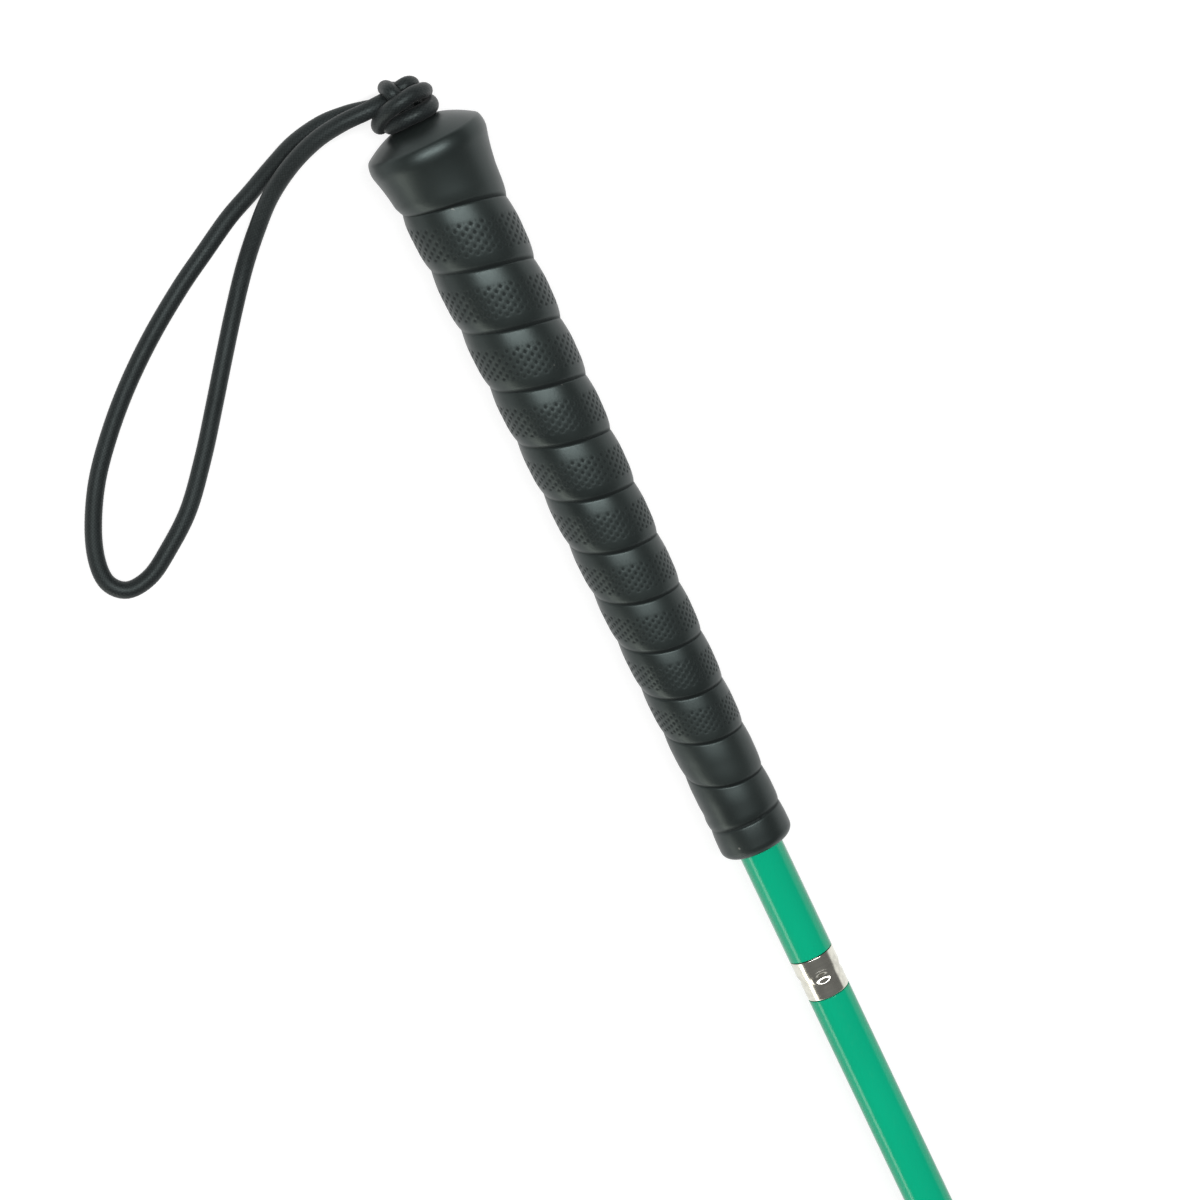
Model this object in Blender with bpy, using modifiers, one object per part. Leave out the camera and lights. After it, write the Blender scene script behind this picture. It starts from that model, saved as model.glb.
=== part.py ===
"""A folding cane for a blind person: four aluminium tubes on one elastic cord, with a
rubber grip, a knotted wrist loop and a nylon tip. It lies along +X with its tip at +X.

Positions along the cane are counted from the crown of the grip's cap. The empty that
carries everything puts the cane's middle over the origin and the cap's rim on the floor.
"""

import math

import bmesh
import bpy
from mathutils import Matrix, Vector

MM = 0.001
GAP = 0.3 * MM  # between pieces that touch
ROUND = 28  # facets round a tube, a multiple of four
SCREW_MERGE = 0.00005

# Tubes
UPPER_TUBE_RADIUS = 6.35 * MM
LOWER_TUBE_RADIUS = 6.15 * MM
TUBE_BORE = 5.3 * MM
TUBE_EDGE = 0.2 * MM
UPPER_TUBE_SHOWN = 33 * MM  # between the grip and the first collar
LOWER_TUBE_LENGTH = 290 * MM

# Grip
GRIP_LENGTH = 222 * MM
CAP_RIM_RADIUS = 17.0 * MM
CAP_RIM_POSITION = 6.2 * MM
CAP_RIM_ROUNDING = 1.2 * MM
CAP_HEIGHT = 5.4 * MM
CAP_THICKNESS = 12 * MM
CAP_FLARE_EASING = 1.7
NECK_POSITION = 20 * MM
GRIP_TOP_RADIUS = 14.45 * MM
GRIP_END_RADIUS = 10.45 * MM
GRIP_HOLLOWING = 0.15  # how much the taper sags between its ends
GRIP_END_ROUNDING = 2.8 * MM
GRIP_ROW = 2.1 * MM
GROOVE_START = 23.7 * MM
GROOVE_PITCH = 17.84 * MM
GROOVE_PITCH_LOSS = 0.408 * MM  # each turn is this much shorter than the one before
GROOVE_DEPTH = 0.85 * MM
GROOVE_END_DEPTH = 0.4 * MM
GROOVE_TURNS = 12.1
GROOVE_FADE = 0.4  # in turns
WRAP_RISE = 0.16  # share of a turn in which the wrap rises from the groove
WRAP_FALL = 0.5  # share of a turn after which the wrap falls to the next groove

# Plug in the top of the upper tube
PLUG_FLANGE = 2 * MM
PLUG_LENGTH = 16 * MM
PLUG_EDGE = 0.6 * MM

# Joints between the tubes
SPIGOT_WALL = 0.8 * MM
SPIGOT_SEAT = 30 * MM  # length inside the tube that carries it
SPIGOT_REACH = 38 * MM  # length inside the tube that slides on it
SPIGOT_TAPER = 0.3 * MM
SPIGOT_NOSE = 1.2 * MM
COLLAR_LENGTH = 12 * MM
COLLAR_EDGE = 0.25 * MM
DENT_COUNT = 4
DENT_LENGTH = 3.2 * MM
DENT_WIDTH = 5.8 * MM
DENT_DEPTH = 0.5 * MM
PULL_OPENING = 22 * MM  # between the spigot's end and the pulled tube

# Cord
CORD_RADIUS = 2.4 * MM
CORD_CLEARANCE = 0.35 * MM
CORD_SPARE = 10 * MM  # cord still in the next tube at full pull

# Tip
TIP_SHANK = 20 * MM
TIP_LENGTH = 44 * MM
TIP_NECK = 10 * MM  # as thick as the tube, before the head
TIP_HEAD_RADIUS = 6.9 * MM
TIP_SHOULDER = 1.2 * MM
TIP_FACE_RADIUS = 3.6 * MM
TIP_ROUNDING = 2.2 * MM
TIP_NARROWING = 9 * MM  # from the widest place to the worn end
TIP_HOLE_DEPTH = 12 * MM
HOOK_WIRE = 0.8 * MM
HOOK_BEND = 2.0 * MM
HOOK_STEM = 9 * MM
HOOK_END = 2.4 * MM
EYE_WIRE = 0.6 * MM
EYE_RADIUS = 2.6 * MM
EYE_SHANK = 4 * MM
EYE_OPENING = 40  # degrees, where the ring springs from its shank
CRIMP_LENGTH = 11 * MM
CRIMP_WALL = 0.8 * MM

# Knot, a plain lump on the cap
KNOT_SIZE = Vector((6.6, 9.2, 7.8)) * MM  # half lengths along, across and up
KNOT_ASIDE = -1.4 * MM

# Wrist loop: along from the cap, across, and height over the floor, in millimetres
LOOP_ROUTE_MM = [
    (-9.3, -10.9, 14.3),
    (-10.2, -16.0, 13.4),
    (-10.4, -23.0, 11.8),
    (-8.6, -31.5, 9.0),
    (-5.1, -39.5, 6.2),
    (-1.2, -47.6, 4.0),
    (2.6, -56.0, 2.8),
    (8.0, -65.6, 2.5),
    (14.0, -76.0, 2.5),
    (22.3, -88.4, 2.5),
    (31.4, -99.9, 2.5),
    (41.0, -110.0, 2.5),
    (51.3, -118.9, 2.5),
    (62.0, -125.4, 2.5),
    (71.0, -128.8, 2.5),
    (78.0, -129.0, 2.5),
    (82.2, -125.0, 2.5),
    (81.6, -118.0, 2.5),
    (77.0, -110.2, 2.5),
    (69.4, -100.4, 2.5),
    (58.0, -90.4, 2.5),
    (47.3, -82.1, 2.5),
    (36.6, -74.0, 2.5),
    (26.1, -65.9, 2.5),
    (16.4, -58.0, 3.2),
    (8.4, -50.6, 5.6),
    (1.4, -43.2, 9.0),
    (-4.2, -34.6, 13.0),
    (-7.8, -25.8, 16.4),
    (-9.2, -17.6, 18.6),
    (-9.3, -10.9, 19.5),
]
LOOP_STEPS = 56
CURVE_STEPS = 12

PULL_TRAVEL = SPIGOT_REACH + PULL_OPENING
CORD_HOLE = CORD_RADIUS + CORD_CLEARANCE
UPPER_END = GRIP_LENGTH + UPPER_TUBE_SHOWN
UPPER_TUBE_START = CAP_THICKNESS + GAP + PLUG_FLANGE + GAP
SLIDING_RADIUS = TUBE_BORE - GAP
AXIS_HEIGHT = CAP_RIM_RADIUS * math.cos(math.pi / ROUND)  # a flat of the rim lies down


def clear_scene():
    for obj in list(bpy.data.objects):
        bpy.data.objects.remove(obj, do_unlink=True)


def new_collection(name):
    collection = bpy.data.collections.new(name)
    bpy.context.scene.collection.children.link(collection)
    return collection


def material(name, colour, roughness, metallic=0.0):
    made = bpy.data.materials.new(name)
    made.use_nodes = True
    made.diffuse_color = (*colour, 1.0)
    shader = made.node_tree.nodes["Principled BSDF"]
    shader.inputs["Base Color"].default_value = (*colour, 1.0)
    shader.inputs["Roughness"].default_value = roughness
    shader.inputs["Metallic"].default_value = metallic
    return made


clear_scene()
CANE = new_collection("folding_cane")
CUTTERS = new_collection("cutters")
CUTTERS.hide_render = True

BLACK_RUBBER = material("black_rubber", (0.028, 0.032, 0.032), 0.55)
GREEN_COAT = material("green_coat", (0.0, 0.36, 0.19), 0.3)
POLISHED_METAL = material("polished_metal", (0.75, 0.74, 0.7), 0.22, 1.0)
BARE_ALUMINIUM = material("bare_aluminium", (0.72, 0.73, 0.74), 0.35, 1.0)
BLACK_NYLON = material("black_nylon", (0.03, 0.03, 0.03), 0.45)
WHITE_NYLON = material("white_nylon", (0.82, 0.82, 0.78), 0.4)
BLACK_CORD = material("black_cord", (0.022, 0.026, 0.028), 0.7)
STEEL_WIRE = material("steel_wire", (0.6, 0.6, 0.6), 0.3, 1.0)


def add_object(name, data, coat, collection=CANE):
    obj = bpy.data.objects.new(name, data)
    data.materials.clear()
    data.materials.append(coat)
    collection.objects.link(obj)
    return obj


def outer_side_down(profile):
    """The profile in the order that turns into a surface facing out."""
    area = 0.0
    for (z0, r0), (z1, r1) in zip(profile, profile[1:] + profile[:1]):
        area += z0 * r1 - z1 * r0
    return profile if area > 0 else profile[::-1]


def turned(name, profile, coat, closed=True, facets=ROUND):
    """A turned piece along X from a profile of (position, radius) points."""
    mesh = bpy.data.meshes.new(name)
    points = [(radius, 0.0, position) for position, radius in outer_side_down(profile)]
    edges = [(i, i + 1) for i in range(len(points) - 1)]
    if closed:
        edges.append((len(points) - 1, 0))
    mesh.from_pydata(points, edges, [])
    obj = add_object(name, mesh, coat)
    screw = obj.modifiers.new("turn", "SCREW")
    screw.axis = "Z"
    screw.steps = screw.render_steps = facets
    screw.use_merge_vertices = True
    screw.merge_threshold = SCREW_MERGE
    screw.use_smooth_shade = True
    flat_down = Matrix.Rotation(math.pi / facets, 4, "Z")
    obj.matrix_world = Matrix.Rotation(math.pi / 2, 4, "Y") @ flat_down
    return obj


def tube_profile(start, end, radius, bore, edge):
    """A plain tube with small chamfers on its outer edges."""
    return [
        (start, bore),
        (start, radius - edge),
        (start + edge, radius),
        (end - edge, radius),
        (end, radius - edge),
        (end, bore),
    ]


def arc(centre, radius, first, last, steps):
    """Points of an arc in the (position, radius) plane, angles in degrees."""
    points = []
    for i in range(steps + 1):
        angle = math.radians(first + (last - first) * i / steps)
        along = centre[0] + radius * math.cos(angle)
        points.append((along, centre[1] + radius * math.sin(angle)))
    return points


def make_plain_mesh(obj):
    """Applies an object's modifiers and place to a mesh of its own."""
    graph = bpy.context.evaluated_depsgraph_get()
    mesh = bpy.data.meshes.new_from_object(obj.evaluated_get(graph))
    mesh.transform(obj.matrix_world)
    obj.modifiers.clear()
    obj.data = mesh
    obj.matrix_world = Matrix.Identity(4)
    return mesh


def groove_turn(position):
    """How many turns of the groove lie between its start and this position."""
    left = GROOVE_PITCH**2 - 2 * GROOVE_PITCH_LOSS * (position - GROOVE_START)
    return (GROOVE_PITCH - math.sqrt(max(left, 0.0))) / GROOVE_PITCH_LOSS


def fade(value):
    value = min(max(value, 0.0), 1.0)
    return value * value * (3 - 2 * value)


def groove_depth(position, angle):
    """Depth of the spiral groove below the grip's taper, at an angle round the cane."""
    along = groove_turn(position)
    share = (along - angle / (2 * math.pi)) % 1.0
    if share < WRAP_RISE:
        shape = (1 - share / WRAP_RISE) ** 2
    else:
        shape = max(0.0, (share - WRAP_FALL) / (1 - WRAP_FALL)) ** 3
    begun = fade((along + GROOVE_FADE) / GROOVE_FADE)
    ended = fade((GROOVE_TURNS - along) / GROOVE_FADE)
    worn = fade(along / GROOVE_TURNS)
    return shape * begun * ended * (GROOVE_DEPTH + (GROOVE_END_DEPTH - GROOVE_DEPTH) * worn)


def grip_radius(position):
    share = (position - NECK_POSITION) / (GRIP_LENGTH - NECK_POSITION)
    share += GRIP_HOLLOWING * share * (1 - share)
    return GRIP_TOP_RADIUS + (GRIP_END_RADIUS - GRIP_TOP_RADIUS) * share


def cap_profile():
    """The domed cap from the cord's hole to its rim, then the flare down to the neck."""
    points = []
    rise = CAP_RIM_RADIUS - CAP_RIM_ROUNDING - CORD_HOLE
    for i in range(6):
        share = i / 5
        points.append((CAP_HEIGHT * share**2, CORD_HOLE + rise * share))
    rim = (CAP_RIM_POSITION, CAP_RIM_RADIUS - CAP_RIM_ROUNDING)
    points += arc(rim, CAP_RIM_ROUNDING, 120, 60, 2)
    for i in range(1, 6):
        share = i / 5
        easing = 1 - (1 - share) ** CAP_FLARE_EASING
        position = CAP_RIM_POSITION + (NECK_POSITION - CAP_RIM_POSITION) * share
        radius = CAP_RIM_RADIUS + (GRIP_TOP_RADIUS - CAP_RIM_RADIUS) * easing
        points.append((position, radius))
    return points


def make_grip():
    """A rubber sleeve turned from its outline, with the spiral groove pressed into it."""
    outer = cap_profile()
    straight = GRIP_LENGTH - GRIP_END_ROUNDING - NECK_POSITION
    rows = round(straight / GRIP_ROW)
    for i in range(1, rows + 1):
        position = NECK_POSITION + straight * i / rows
        outer.append((position, grip_radius(position)))
    end = (GRIP_LENGTH - GRIP_END_ROUNDING, outer[-1][1] - GRIP_END_ROUNDING)
    outer += arc(end, GRIP_END_ROUNDING, 90, 0, 4)[1:]
    bore = UPPER_TUBE_RADIUS + GAP
    inner = [(GRIP_LENGTH, bore), (CAP_THICKNESS, bore), (CAP_THICKNESS, CORD_HOLE)]
    grip = turned("grip", outer + inner, BLACK_RUBBER)
    mesh = make_plain_mesh(grip)
    for vertex in mesh.vertices:
        position, across, up = vertex.co
        radius = math.hypot(across, up)
        if radius > bore + GAP and NECK_POSITION / 2 < position < GRIP_LENGTH:
            depth = groove_depth(position, math.atan2(across, up))
            vertex.co.y *= 1 - depth / radius
            vertex.co.z *= 1 - depth / radius
    mesh.shade_smooth()
    mesh.set_sharp_from_angle(angle=math.radians(60))
    return grip


def make_plug():
    """A flanged nylon plug that keeps the cord off the tube's edge."""
    top = CAP_THICKNESS + GAP
    profile = [
        (top, CORD_HOLE),
        (top, UPPER_TUBE_RADIUS - PLUG_EDGE),
        (top + PLUG_EDGE, UPPER_TUBE_RADIUS),
        (top + PLUG_FLANGE, UPPER_TUBE_RADIUS),
        (top + PLUG_FLANGE, SLIDING_RADIUS),
        (top + PLUG_LENGTH - PLUG_EDGE, SLIDING_RADIUS),
        (top + PLUG_LENGTH, SLIDING_RADIUS - PLUG_EDGE),
        (top + PLUG_LENGTH, CORD_HOLE),
    ]
    return turned("top_plug", profile, BLACK_NYLON, facets=24)


def make_tube(number, start, end, radius):
    profile = tube_profile(start, end, radius, TUBE_BORE, TUBE_EDGE)
    return turned(f"tube_{number}", profile, GREEN_COAT)


def make_spigot(number, collar_start):
    """The inner tube of a joint: fixed in the tube above, tapered where the next slides on."""
    bore = SLIDING_RADIUS - SPIGOT_WALL
    nose = SLIDING_RADIUS - SPIGOT_TAPER
    start = collar_start - SPIGOT_SEAT
    end = collar_start + COLLAR_LENGTH + SPIGOT_REACH
    profile = [
        (start, bore),
        (start, SLIDING_RADIUS - TUBE_EDGE),
        (start + TUBE_EDGE, SLIDING_RADIUS),
        (collar_start + COLLAR_LENGTH, SLIDING_RADIUS),
        (end - SPIGOT_NOSE, nose),
        (end, nose - SPIGOT_WALL / 2),
        (end, bore),
    ]
    return turned(f"spigot_{number}", profile, BARE_ALUMINIUM, facets=24)


def dent_cutter(name, position, radius, angle):
    """A flattened ball that sinks one dent into a collar of this radius."""
    half_width = DENT_WIDTH / 2
    height = DENT_DEPTH + radius - math.sqrt(radius**2 - half_width**2)
    mesh = bpy.data.meshes.new(name)
    ball = bmesh.new()
    bmesh.ops.create_uvsphere(ball, u_segments=20, v_segments=10, radius=1.0)
    ball.to_mesh(mesh)
    ball.free()
    mesh.transform(Matrix.Diagonal((DENT_LENGTH / 2, half_width, height, 1.0)))
    mesh.transform(Matrix.Translation((0.0, 0.0, radius - DENT_DEPTH + height)))
    mesh.transform(Matrix.Rotation(angle, 4, "X"))
    mesh.transform(Matrix.Translation((position, 0.0, 0.0)))
    cutter = add_object(name, mesh, STEEL_WIRE, CUTTERS)
    cutter.hide_render = True
    cutter.display_type = "WIRE"
    return cutter


def make_collar(number, start, upper_radius):
    """The bright collar that both tubes butt against, staked to the spigot by dents."""
    end = start + COLLAR_LENGTH
    middle = (start + end) / 2
    middle_radius = (upper_radius + LOWER_TUBE_RADIUS) / 2
    profile = [
        (start, TUBE_BORE),
        (start, upper_radius - COLLAR_EDGE),
        (start + COLLAR_EDGE, upper_radius),
        (middle, middle_radius),
        (end - COLLAR_EDGE, LOWER_TUBE_RADIUS),
        (end, LOWER_TUBE_RADIUS - COLLAR_EDGE),
        (end, TUBE_BORE),
    ]
    collar = turned(f"collar_{number}", profile, POLISHED_METAL, facets=36)
    make_plain_mesh(collar)
    cutters = []
    for i in range(DENT_COUNT):
        name = f"dent_{number}_{i + 1}"
        cutter = dent_cutter(name, middle, middle_radius, 2 * math.pi * i / DENT_COUNT)
        cut = collar.modifiers.new(name, "BOOLEAN")
        cut.operation = "DIFFERENCE"
        cut.object = cutter
        cutters.append(cutter)
    return [collar, *cutters]


def make_inner_cord(number, start, end):
    profile = [(start, 0.0), (start, CORD_RADIUS), (end, CORD_RADIUS), (end, 0.0)]
    return turned(f"elastic_{number}", profile, BLACK_CORD, closed=False, facets=12)


def make_tip(tube_end):
    """A white nylon tip: a shank in the last tube, a neck, a head and a rounded end."""
    shank_start = tube_end - TIP_SHANK
    neck_start = tube_end + GAP
    neck_end = tube_end + TIP_NECK
    end = tube_end + TIP_LENGTH
    widest = end - TIP_NARROWING
    hole = HOOK_WIRE + GAP
    profile = [
        (shank_start + TIP_HOLE_DEPTH, 0.0),
        (shank_start + TIP_HOLE_DEPTH, hole),
        (shank_start, hole),
        (shank_start, SLIDING_RADIUS - PLUG_EDGE),
        (shank_start + PLUG_EDGE, SLIDING_RADIUS),
        (neck_start, SLIDING_RADIUS),
        (neck_start, LOWER_TUBE_RADIUS - TUBE_EDGE),
        (neck_start + TUBE_EDGE, LOWER_TUBE_RADIUS),
        (neck_end, LOWER_TUBE_RADIUS),
        (neck_end + TIP_SHOULDER, TIP_HEAD_RADIUS),
        (widest, TIP_HEAD_RADIUS),
        (end - TIP_ROUNDING, TIP_FACE_RADIUS + TIP_ROUNDING),
        *arc((end - TIP_ROUNDING, TIP_FACE_RADIUS), TIP_ROUNDING, 60, 0, 3),
        (end, 0.0),
    ]
    return turned("tip", profile, WHITE_NYLON, closed=False)


def wire(name, points, radius, coat, roundness):
    """A round wire or cord along points, as a curve with filled caps."""
    curve = bpy.data.curves.new(name, "CURVE")
    curve.dimensions = "3D"
    curve.bevel_depth = radius
    curve.bevel_resolution = roundness
    curve.use_fill_caps = True
    spline = curve.splines.new("POLY")
    spline.points.add(len(points) - 1)
    for point, place in zip(spline.points, points):
        point.co = (*place, 1.0)
    return add_object(name, curve, coat)


def make_tip_hook(shank_start, bend_start):
    """A bent wire: its stem is set in the tip's shank and its hook holds the cord's eye."""
    points = [
        (shank_start + TIP_HOLE_DEPTH - GAP, 0.0, 0.0),
        (shank_start - HOOK_WIRE, 0.0, 0.0),
        (shank_start - HOOK_STEM / 2, HOOK_BEND, 0.0),
    ]
    for i in range(9):
        angle = math.pi * i / 8
        along = bend_start - HOOK_BEND * math.sin(angle)
        points.append((along, HOOK_BEND * math.cos(angle), 0.0))
    points.append((bend_start + HOOK_END, -HOOK_BEND, 0.0))
    return wire("tip_hook", points, HOOK_WIRE, STEEL_WIRE, 2)


def make_cord_eye(ring_centre, shank_end):
    """A wire ring round the hook, with a shank that the crimp holds."""
    root = ring_centre - EYE_RADIUS - EYE_WIRE
    points = [(shank_end, 0.0, 0.0), (root, 0.0, 0.0)]
    for i in range(15):
        angle = math.radians(EYE_OPENING / 2 + (360 - EYE_OPENING) * i / 14)
        along = ring_centre - EYE_RADIUS * math.cos(angle)
        points.append((along, 0.0, EYE_RADIUS * math.sin(angle)))
    return wire("cord_eye", points, EYE_WIRE, STEEL_WIRE, 1)


def make_crimp(start, end):
    profile = tube_profile(start, end, CORD_HOLE + CRIMP_WALL, CORD_HOLE, TUBE_EDGE)
    return turned("cord_crimp", profile, STEEL_WIRE, facets=20)


def make_knot():
    """The knot, a plain lump that seats on the cap."""
    mesh = bpy.data.meshes.new("wrist_knot")
    ball = bmesh.new()
    bmesh.ops.create_uvsphere(ball, u_segments=20, v_segments=12, radius=1.0)
    ball.to_mesh(mesh)
    ball.free()
    mesh.transform(Matrix.Diagonal((*KNOT_SIZE, 1.0)))
    mesh.transform(Matrix.Translation((-GAP - KNOT_SIZE.x, KNOT_ASIDE, 0.0)))
    mesh.shade_smooth()
    return add_object("wrist_knot", mesh, BLACK_CORD)


def curve_through(points):
    """Close points along a Catmull-Rom curve through the given ones."""
    fine = []
    held = [points[0], *points, points[-1]]
    for before, first, second, after in zip(held, held[1:], held[2:], held[3:]):
        for i in range(CURVE_STEPS):
            t = i / CURVE_STEPS
            bend = 2 * before - 5 * first + 4 * second - after
            twist = 3 * first - before - 3 * second + after
            place = 2 * first + (second - before) * t + bend * t**2 + twist * t**3
            fine.append(place / 2)
    fine.append(points[-1])
    return fine


def even_steps(points, steps):
    """The same line in steps of equal length."""
    lengths = [0.0]
    for first, second in zip(points, points[1:]):
        lengths.append(lengths[-1] + (second - first).length)
    route = []
    index = 0
    for i in range(steps + 1):
        wanted = lengths[-1] * i / steps
        while index < len(points) - 2 and lengths[index + 1] < wanted:
            index += 1
        share = (wanted - lengths[index]) / (lengths[index + 1] - lengths[index])
        route.append(points[index].lerp(points[index + 1], share))
    return route


def make_loop():
    """The wrist loop, from the knot out along the floor and back to the knot."""
    floor = Vector((0.0, 0.0, AXIS_HEIGHT))
    points = [Vector(place) * MM - floor for place in LOOP_ROUTE_MM]
    route = even_steps(curve_through(points), LOOP_STEPS)
    return wire("wrist_loop", route, CORD_RADIUS, BLACK_CORD, 2)


def carry(name, position, parent, pieces):
    """An empty at the mouth of a joint, which carries the pieces that move with it."""
    empty = bpy.data.objects.new(name, None)
    empty.empty_display_size = COLLAR_LENGTH
    CANE.objects.link(empty)
    empty.location.x = position
    if parent:
        empty.parent = parent
        empty.location.x -= parent["position"]
    empty["position"] = position
    for piece in pieces:
        piece.parent = empty
        piece.matrix_parent_inverse = Matrix.Translation((-position, 0.0, 0.0))
    return empty


def make_cane():
    pieces = [make_grip(), make_plug(), make_knot(), make_loop()]
    pieces.append(make_tube(1, UPPER_TUBE_START, UPPER_END - GAP, UPPER_TUBE_RADIUS))
    carrier_name = "upper_section"
    carrier_position = 0.0
    carrier = None
    top = None
    collar_start = UPPER_END
    upper_radius = UPPER_TUBE_RADIUS
    cord_start = 0.0
    for number in (1, 2, 3):
        collar_end = collar_start + COLLAR_LENGTH
        cord_end = collar_end + PULL_TRAVEL + CORD_SPARE
        pieces.append(make_spigot(number, collar_start))
        pieces += make_collar(number, collar_start, upper_radius)
        pieces.append(make_inner_cord(number, cord_start, cord_end))
        carrier = carry(carrier_name, carrier_position, carrier, pieces)
        top = top or carrier
        tube_end = collar_end + GAP + LOWER_TUBE_LENGTH
        pieces = [make_tube(number + 1, collar_end + GAP, tube_end, LOWER_TUBE_RADIUS)]
        carrier_name = f"pull_{number}"
        carrier_position = collar_end
        collar_start = tube_end + GAP
        upper_radius = LOWER_TUBE_RADIUS
        cord_start = cord_end + GAP
    carrier = carry(carrier_name, carrier_position, carrier, pieces)

    shank_start = tube_end - TIP_SHANK
    bend_start = shank_start - HOOK_STEM + HOOK_BEND
    ring_centre = bend_start - HOOK_BEND + HOOK_WIRE + GAP + EYE_WIRE - EYE_RADIUS
    crimp_end = ring_centre - EYE_RADIUS - EYE_WIRE
    cord_end = crimp_end - EYE_SHANK - GAP
    tip_pieces = [
        make_tip(tube_end),
        make_tip_hook(shank_start, bend_start),
        make_cord_eye(ring_centre, crimp_end - EYE_SHANK),
        make_crimp(crimp_end - CRIMP_LENGTH, crimp_end - GAP),
        make_inner_cord(4, cord_start, cord_end),
    ]
    carry("tip_pull", tube_end, carrier, tip_pieces)
    top.location = (-(tube_end + TIP_LENGTH) / 2, 0.0, AXIS_HEIGHT)


make_cane()
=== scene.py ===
import math

import bmesh
import bpy
import numpy as np
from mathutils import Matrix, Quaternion, Vector


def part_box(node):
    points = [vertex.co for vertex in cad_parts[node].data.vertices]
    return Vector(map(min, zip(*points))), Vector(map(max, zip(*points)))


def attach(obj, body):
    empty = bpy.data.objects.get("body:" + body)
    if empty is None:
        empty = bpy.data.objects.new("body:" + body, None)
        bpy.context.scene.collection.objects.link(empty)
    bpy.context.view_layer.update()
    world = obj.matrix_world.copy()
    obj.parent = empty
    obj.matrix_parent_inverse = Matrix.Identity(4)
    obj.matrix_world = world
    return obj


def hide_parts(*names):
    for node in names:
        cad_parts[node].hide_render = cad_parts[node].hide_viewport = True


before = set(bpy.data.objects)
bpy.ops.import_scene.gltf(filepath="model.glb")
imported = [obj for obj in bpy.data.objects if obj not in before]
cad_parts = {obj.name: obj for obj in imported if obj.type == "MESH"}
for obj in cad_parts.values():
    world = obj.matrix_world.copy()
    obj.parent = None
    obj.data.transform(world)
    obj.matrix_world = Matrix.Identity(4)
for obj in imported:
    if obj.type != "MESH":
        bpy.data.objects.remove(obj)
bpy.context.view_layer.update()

# The camera stands over the handle and looks down along the cane, as the photograph does.
# It is turned in its own frame so that the cane runs from the upper left to the lower right.
MM = 0.001
CAMERA_PLACE = Vector((-766.74, -10.48, 1245.06)) * MM
CAMERA_AIM = Vector((-465.08, -10.48, 16.9)) * MM
CAMERA_ROLL = 154.435  # degrees
SENSOR = 36  # these two in mm
LENS = 139.8

camera_data = bpy.data.cameras.new("camera")
camera_data.sensor_width = SENSOR
camera_data.lens = LENS
camera = bpy.data.objects.new("camera", camera_data)
camera.location = CAMERA_PLACE
camera.rotation_mode = "QUATERNION"
looking = (CAMERA_AIM - CAMERA_PLACE).to_track_quat("-Z", "Y")
camera.rotation_quaternion = looking @ Quaternion((0, 0, 1), math.radians(CAMERA_ROLL))
bpy.context.scene.collection.objects.link(camera)
bpy.context.scene.camera = camera
bpy.context.scene.view_settings.view_transform = "Standard"


# The floor is a white studio sheet. The studio is white at the horizon and grey above, sooner
# on the +Y side, which the cane's far side mirrors. A long soft lamp hangs across the cane,
# high and beyond its cap, and a warmer one stands low on the wrist loop's side.
class Value:
    """A number or colour in a material. Python's operators on it add Math nodes."""

    def __init__(self, finish, socket):
        self.finish = finish
        self.socket = socket

    def __add__(self, other):
        return self.finish.math("ADD", self, other)

    def __sub__(self, other):
        return self.finish.math("SUBTRACT", self, other)

    def __mul__(self, other):
        return self.finish.math("MULTIPLY", self, other)

    def __rsub__(self, other):
        return self.finish.math("SUBTRACT", other, self)

    __radd__ = __add__
    __rmul__ = __mul__


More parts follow.
